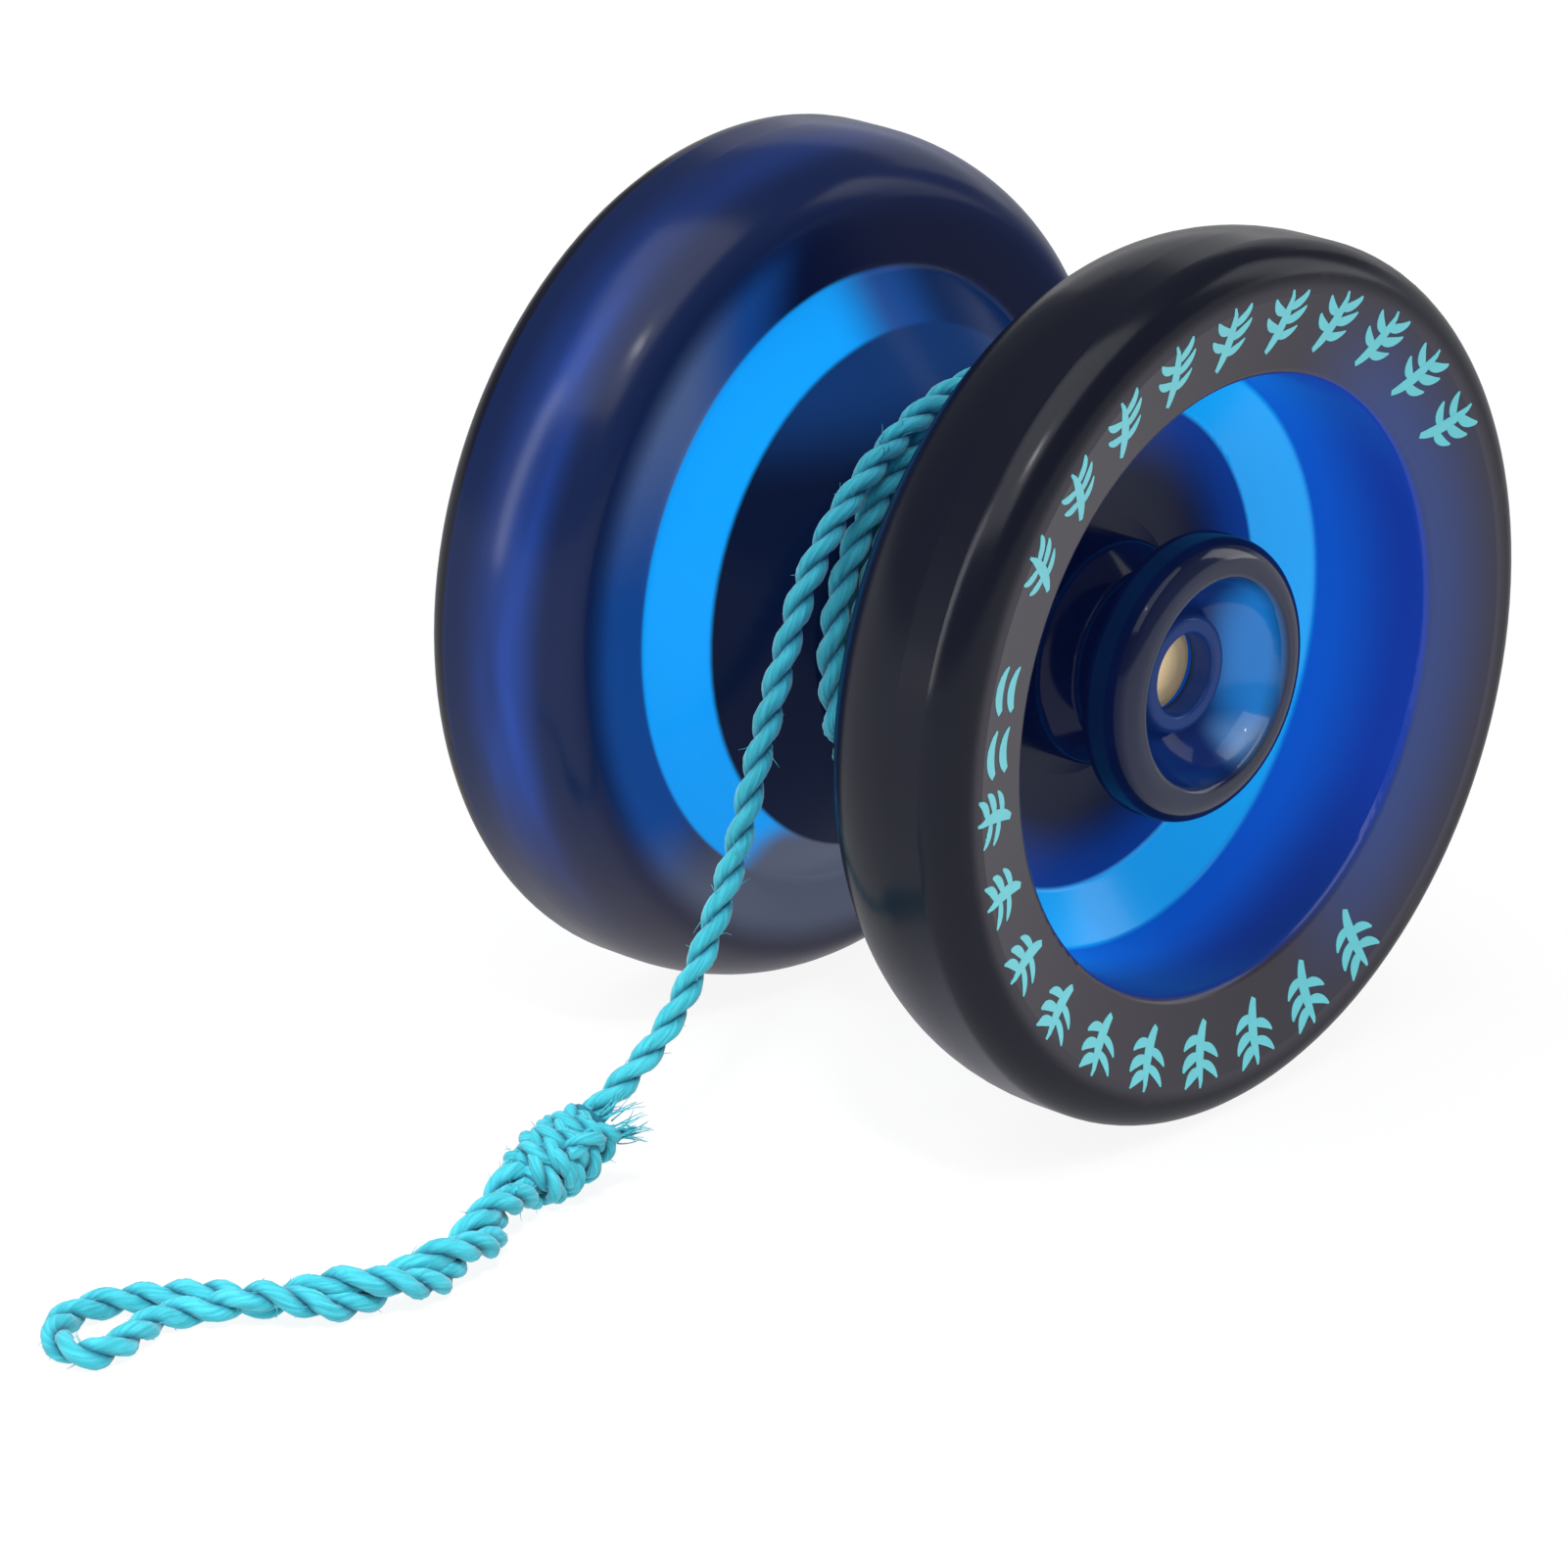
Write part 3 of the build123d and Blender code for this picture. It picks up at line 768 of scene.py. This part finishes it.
class Yarn:
    """A mesh of strands in the making, with the values that the string's material reads."""

    def __init__(self):
        self.points = []
        self.faces = []
        self.fibre = []
        self.crest = []

    def skin(self, first, rings, sides):
        """Faces over rings of points, and a cap at each end."""
        for i in range(rings - 1):
            low = first + i * sides
            for k in range(sides):
                here = low + k
                beside = low + (k + 1) % sides
                self.faces.append((here, beside, beside + sides, here + sides))
        last = first + (rings - 1) * sides
        self.faces.append(tuple(first + k for k in reversed(range(sides))))
        self.faces.append(tuple(last + k for k in range(sides)))

    def tube(self, line, axis, radius, sides, seed, reach):
        """One strand along a line. Its crest value says how far it stands out from the cord's axis, and
        the string's material paints shade in the grooves from it.
        """
        first = len(self.points)
        frames = carried_frames(line)
        step = spacing_of(line)
        for i, (centre, middle, frame) in enumerate(zip(line, axis, frames)):
            for k in range(sides):
                angle = 2 * math.pi * k / sides
                turned = angle + GRAIN_TURN * i * step
                along = GRAIN_ALONG * i * step + GRAIN_SHIFT * seed
                grain = Vector((math.cos(turned), math.sin(turned), along))
                point = centre + outward(frame, angle) * radius * swell_at(grain)
                self.points.append(point)
                self.fibre.append(grain)
                self.crest.append(min(1.0, (point - middle).length / reach))
        self.skin(first, len(line), sides)

    def cord(self, line, diameter, pitch, seed):
        """Two plies twisted round a line."""
        radius = PLY_R_SHARE * diameter
        offset = diameter / 2 - radius
        frames = carried_frames(line)
        step = spacing_of(line)
        for ply in range(2):
            plied = []
            for i, (centre, frame) in enumerate(zip(line, frames)):
                angle = 2 * math.pi * i * step / pitch + ply * math.pi + seed
                plied.append(centre + outward(frame, angle) * offset)
            self.tube(plied, line, radius, PLY_SIDES, seed + ply, diameter / 2)

    def hair(self, root, direction, length, radius, sag):
        """One loose fibre, tapering and curling towards sag."""
        line = []
        for j in range(HAIR_JOINTS + 1):
            share = j / HAIR_JOINTS
            line.append(root + direction * length * share + sag * length * share * share)
        first = len(self.points)
        for j, (centre, frame) in enumerate(zip(line, carried_frames(line))):
            thickness = radius * (1.0 - HAIR_TAPER * j / HAIR_JOINTS)
            for k in range(HAIR_SIDES):
                out = outward(frame, 2 * math.pi * k / HAIR_SIDES)
                self.points.append(centre + out * thickness)
                self.fibre.append(centre)
                self.crest.append(HAIR_CREST)
        self.skin(first, len(line), HAIR_SIDES)

    def fuzz(self, line, diameter, spacing, dice):
        """Short loose fibres along a cord, lying mostly along it."""
        frames = carried_frames(line)
        for _ in range(int(len(line) * spacing_of(line) / spacing)):
            i = dice.randrange(1, len(line) - 1)
            out = outward(frames[i], dice.uniform(0, 2 * math.pi))
            along = (line[i + 1] - line[i - 1]).normalized() * dice.choice((-1, 1))
            root = line[i] + out * diameter * FUZZ_ROOT_SHARE
            heading = out * dice.uniform(*FUZZ_OUTWARD) + along * dice.uniform(*FUZZ_ALONG)
            sag = Vector([dice.uniform(*FUZZ_SAG) for _ in range(3)])
            self.hair(root, heading.normalized(), dice.uniform(*FUZZ_LENGTH), FUZZ_R, sag)

    def fray(self, root, direction, spread, count, length, dice):
        """A frayed end: many fibres fanning out from a root."""
        for _ in range(count):
            shift = Vector([dice.gauss(0, spread) for _ in range(3)])
            sag = Vector([dice.uniform(*FRAY_SAG) for _ in range(3)])
            start = Vector(root) + Vector([dice.gauss(0, FRAY_ROOT_SPREAD) for _ in range(3)])
            heading = Vector(direction) + shift
            own_length = dice.uniform(*FRAY_LENGTH_SHARE) * length
            self.hair(start, heading.normalized(), own_length, FRAY_R, sag)

    def finish(self, name, material):
        piece = new_piece(name, self.points, self.faces, material)
        piece.data.shade_smooth()
        fibre = piece.data.attributes.new("fibre", "FLOAT_VECTOR", "POINT")
        fibre.data.foreach_set("vector", [part for grain in self.fibre for part in grain])
        crest = piece.data.attributes.new("crest", "FLOAT", "POINT")
        crest.data.foreach_set("value", self.crest)
        return piece


def eased(share):
    share = min(1.0, max(0.0, share))
    return share * share * (3 - 2 * share)


def turn_stop(index):
    """Radius and side of the winding at the start of a turn."""
    layer = index // 2
    if layer < TURN_LAYERS:
        side = TURN_SIDE_Y if (index + layer) % 2 else -TURN_SIDE_Y
        return FIRST_TURN_R + LAYER_RISE * layer, side
    if index == 2 * TURN_LAYERS:
        return TOP_TURN_R, 0.0
    return LEAVING_R, 0.0


def turn_shape(turn):
    """Radius and side of the winding after that many turns: it shifts over at the end of each."""
    whole = math.floor(turn)
    part = eased((turn - whole - (1 - TURN_SHIFT_SHARE)) / TURN_SHIFT_SHARE)
    low_r, low_y = turn_stop(whole)
    high_r, high_y = turn_stop(whole + 1)
    return low_r + (high_r - low_r) * part, low_y + (high_y - low_y) * part


def winding_route():
    """Paired turns from the bearing outwards, then one turn along the top that meets the lead."""
    turns = 2 * TURN_LAYERS + 1
    route = []
    for i in range(turns * TURN_POINTS):
        turn = i / TURN_POINTS
        angle = LEAVING_ANGLE + 2 * math.pi * (turn - turns)
        r, y = turn_shape(turn)
        corner_r = r / math.cos(math.pi / TURN_POINTS)
        route.append((corner_r * math.cos(angle), y, corner_r * math.sin(angle)))
    return route


def string_piece(material, dice):
    """The string from its first turn on the bearing to the knot."""
    line = smooth_line(winding_route() + LEAD_ROUTE, STRING_STEP)
    yarn = Yarn()
    yarn.cord(line, STRING_D, STRING_PITCH, seed=0.4)
    yarn.fuzz(line[-LEAD_FUZZ_POINTS:], STRING_D, spacing=0.6, dice=dice)
    for fray in LEAD_FRAYS:
        yarn.fray(*fray, dice)
    return yarn.finish("string", material), line


def wrap_line(start, end, belly, tilt, shift):
    """A line wound round the knot from start to end, widest in the middle and leaning over."""
    axis = (end - start).normalized()
    side = axis.orthogonal().normalized()
    frame = (side, axis.cross(side))
    count = WRAP_POINTS * KNOT_WRAPS
    line = []
    for i in range(count + 1):
        share = i / count
        angle = 2 * math.pi * KNOT_WRAPS * share + shift
        width = KNOT_END_R + (belly - KNOT_END_R) * math.sin(math.pi * share) ** 0.5
        along = (share - 0.5) * KNOT_LENGTH + tilt * math.sin(angle + WRAP_LEAN_TURN)
        line.append(KNOT_MIDDLE + axis * along + outward(frame, angle) * width)
    return evenly(line, WRAP_STEP)


def knot_piece(material, dice):
    """The slip knot: crossed layers of wraps round the string, and its frayed tail."""
    yarn = Yarn()
    start = Vector(LEAD_ROUTE[-1])
    end = Vector(LEG_ROUTE[0])
    core = evenly([start, KNOT_MIDDLE, end], LOOP_STEP)
    yarn.tube(core, core, KNOT_CORE_R, KNOT_CORE_SIDES, seed=5.0, reach=KNOT_REACH)
    under = wrap_line(start, end, belly=1.75, tilt=0.5, shift=0.0)
    over = wrap_line(start, end, belly=1.95, tilt=-0.6, shift=2.2)
    tail = smooth_line(TAIL_ROUTE, LOOP_STEP)
    for line, seed in ((under, 1.1), (over, 2.6), (tail, 2.0)):
        yarn.cord(line, KNOT_STRAND_D, KNOT_PITCH, seed)
    yarn.fray(tail[-1], *TAIL_FRAY, dice)
    yarn.fray(*MOUTH_FRAY, dice)
    yarn.fuzz(over, KNOT_FUZZ_D, spacing=0.5, dice=dice)
    return yarn.finish("string_slip_knot", material)


def twisted_strand(leg, end_shift, phase):
    """One strand of the leg, from the knot to its end, which shifts over to meet the eye."""
    step = spacing_of(leg)
    length = step * (len(leg) - 1)
    strand = []
    for i, (centre, frame) in enumerate(zip(leg, carried_frames(leg))):
        angle = 2 * math.pi * (i * step - length) / LOOP_PITCH + phase
        shift = outward(frame, angle) * LOOP_OFFSET
        parting = eased((i * step - (length - LOOP_PARTING)) / LOOP_PARTING)
        strand.append(centre + shift.lerp(end_shift, parting))
    return strand


def finger_loop_piece(material, dice):
    """One strand out along the leg, round the eye and back, twisted together on the leg."""
    leg = smooth_line(LEG_ROUTE, LOOP_STEP)
    eye = smooth_line(EYE_ROUTE, LOOP_STEP)
    out = twisted_strand(leg, eye[0] - leg[-1], phase=0.0)
    back = twisted_strand(leg, eye[-1] - leg[-1], phase=math.pi)
    line = evenly(out + eye[1:-1] + back[::-1], LOOP_STEP)
    yarn = Yarn()
    yarn.cord(line, LOOP_STRAND_D, STRING_PITCH, seed=0.9)
    yarn.fuzz(line, LOOP_STRAND_D, spacing=0.5, dice=dice)
    return yarn.finish("finger_loop", material), line


def face_point(r, angle, lift, side):
    """A point over the printed face of a half."""
    slope = (FACE_Y - FACE_MOUTH_Y) / (FACE_CREST_R - FACE_MOUTH_R)
    y = min(FACE_Y, FACE_MOUTH_Y + (r - FACE_MOUTH_R) * slope) + lift
    return Vector((r * math.cos(angle), side * y, r * math.sin(angle)))


def stroke_fullness(t):
    """Share of its full width that a stroke has at t: half at its root, and thin at its tip."""
    return 0.08 + 0.92 * math.sin(math.pi * (0.12 + 0.86 * t)) ** 0.8


def add_stroke(points, faces, stroke, middle_angle, side):
    """One tapering printed stroke, a thin solid lying on the face."""
    start, bend, end, width = stroke
    corners = list(zip(start, bend, end))
    first = len(points)
    for i in range(STROKE_PARTS + 1):
        t = i / STROKE_PARTS
        centre = [(1 - t) ** 2 * a + 2 * t * (1 - t) * b + t * t * c for a, b, c in corners]
        heading = [2 * (1 - t) * (b - a) + 2 * t * (c - b) for a, b, c in corners]
        size = math.hypot(*heading)
        half = width / 2 * stroke_fullness(t)
        for hand in (-1, 1):
            u = centre[0] - hand * half * heading[1] / size
            v = centre[1] + hand * half * heading[0] / size
            angle = middle_angle - u / PRINT_R
            for lift in (PRINT_LIFT, -PRINT_DEPTH):
                points.append(face_point(PRINT_R + v, angle, lift, side))
    for i in range(STROKE_PARTS):
        low = first + 4 * i
        for a, b in ((0, 2), (2, 3), (3, 1), (1, 0)):
            faces.append((low + a, low + b, low + 4 + b, low + 4 + a))
    faces.append((first, first + 1, first + 3, first + 2))
    last = first + 4 * STROKE_PARTS
    faces.append((last, last + 2, last + 3, last + 1))


def print_piece(name, side, material):
    """The ring of leaf sprigs and two chevrons printed on one half's face."""
    points = []
    faces = []
    for start, end, count in SPRIG_ARCS:
        for i in range(count):
            angle = math.radians(start + (end - start) * i / (count - 1))
            for stroke in SPRIG:
                add_stroke(points, faces, stroke, angle, side)
    for angle in CHEVRON_ANGLES:
        for stroke in CHEVRON:
            add_stroke(points, faces, stroke, math.radians(angle), side)
    return new_piece(name, points, faces, material)


def dress_nodes(nodes):
    """A material on every CAD node, by what its name says."""
    steel = turned_metal("race_steel", RACE_STEEL, roughness=0.22)
    shield = turned_metal("shield_steel", SHIELD_STEEL, roughness=0.28)
    looks = {
        "shell": shell_look(),
        "hub": hub_look(),
        # the brass has a painted glow
        "threaded_insert": turned_metal("insert_brass", BRASS, roughness=0.4, painted_glow=0.16),
        "bearing_seat": turned_metal("seat_aluminium", BRIGHT_METAL, roughness=0.3),
        "response_pad": silicone_look(),
        "axle": threaded_metal("axle_steel", AXLE_BLACK, AXLE_PITCH),
        "inner_race": steel,
        "outer_race": steel,
        "balls": turned_metal("ball_steel", BRIGHT_METAL, roughness=0.08, ring_scale=0.8),
        "cage": turned_metal("cage_steel", CAGE_STEEL, roughness=0.35),
        "bearing_shield": shield,
        "snap_ring": shield,
    }
    for name, node in nodes.items():
        for part, material in looks.items():
            if part in name:
                node.data.materials.clear()
                node.data.materials.append(material)


def add_string():
    """The string, its knot and its finger loop, all held by the bearing's outer race."""
    dice = random.Random(DICE_SEED)
    material = string_look()
    string, line = string_piece(material, dice)
    knot = knot_piece(material, dice)
    loop, loop_line = finger_loop_piece(material, dice)
    for piece in (string, knot, loop):
        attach(piece, "string_carrier")
    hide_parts("string_winding", "string_lead")
    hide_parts("string_knot")
    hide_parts("finger_loop_leg", "finger_loop_eye")


def add_prints():
    ink = print_look()
    for half, side in (("half_a", -1), ("half_b", 1)):
        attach(print_piece(f"{half}_print", side, ink), half)


def add_floor():
    """A white sweep that is lit almost evenly, so shadows on it stay faint."""
    look = Look("floor")
    look.set(
        Base_Color=look.mix(look.noise(3.0), SWEEP_DARK, SWEEP_PALE),
        Emission_Color=WHITE,
        Emission_Strength=0.90,
        Roughness=0.9,
        Specular_IOR_Level=0.0,
    )
    ends = (-SWEEP_REACH, SWEEP_REACH)
    corners = [Vector((x, y, SWEEP_Z)) for x in ends for y in ends]
    floor = new_piece("floor", corners, [(0, 2, 3, 1)], look.material)


def add_lamp(name, kind, place, target, power):
    light = bpy.data.lights.new(name, kind)
    light.energy = power
    lamp = bpy.data.objects.new(name, light)
    lamp.location = place
    lamp.rotation_euler = (Vector(place) - Vector(target)).to_track_quat("Z", "Y").to_euler()
    bpy.context.collection.objects.link(lamp)
    return light


def add_softbox(name, place, width, height, power):
    light = add_lamp(name, "AREA", place, (0, 0, 0), power)
    light.shape = "RECTANGLE"
    light.size = width
    light.size_y = height


def studio_world():
    """White down at the horizon, where the floor ends, and dim overhead."""
    world = bpy.data.worlds.new("studio")
    world.use_nodes = True
    nodes = Nodes(world.node_tree)
    height = nodes.split(nodes.node("ShaderNodeTexCoord", {}).outputs["Generated"])["Z"]
    strength = nodes.scale_to(nodes.step(height, *HORIZON_BLEND), HORIZON_LIGHT, OVERHEAD_LIGHT)
    background = world.node_tree.nodes["Background"]
    nodes.feed(background.inputs["Strength"], strength)
    nodes.feed(background.inputs["Color"], WHITE)
    return world


def add_lights():
    """Softboxes all round, a spot on the loose end of the string, and a dim even surround."""
    for name, (place, width, height, power) in SOFTBOXES.items():
        add_softbox(name, place, width, height, power)
    spot = add_lamp("loose_end", "SPOT", SPOT_PLACE, SPOT_TARGET, SPOT_POWER)
    spot.spot_size = SPOT_ANGLE
    spot.spot_blend = 0.5
    spot.shadow_soft_size = 0.03
    bpy.context.scene.world = studio_world()
    bpy.context.scene.view_settings.view_transform = "Standard"


def add_camera():
    """A long lens, to the near half's left and above."""
    level = math.cos(CAMERA_RISE)
    right = Vector((math.cos(CAMERA_TURN), math.sin(CAMERA_TURN), 0))
    back = Vector((math.sin(CAMERA_TURN) * level, -math.cos(CAMERA_TURN) * level, math.sin(CAMERA_RISE)))
    up = back.cross(right)
    lens = bpy.data.cameras.new("camera")
    lens.sensor_width = SENSOR_WIDTH_MM
    lens.lens = LENS_MM
    lens.clip_start = 0.01
    camera = bpy.data.objects.new("camera", lens)
    camera.location = (right * CAMERA_RIGHT + up * CAMERA_UP + back * CAMERA_BACK) * MM
    camera.rotation_euler = back.to_track_quat("Z", "Y").to_euler()
    bpy.context.collection.objects.link(camera)
    bpy.context.scene.camera = camera


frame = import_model()
dress_nodes(frame["nodes"])
add_prints()
add_string()
add_floor()
add_lights()
add_camera()
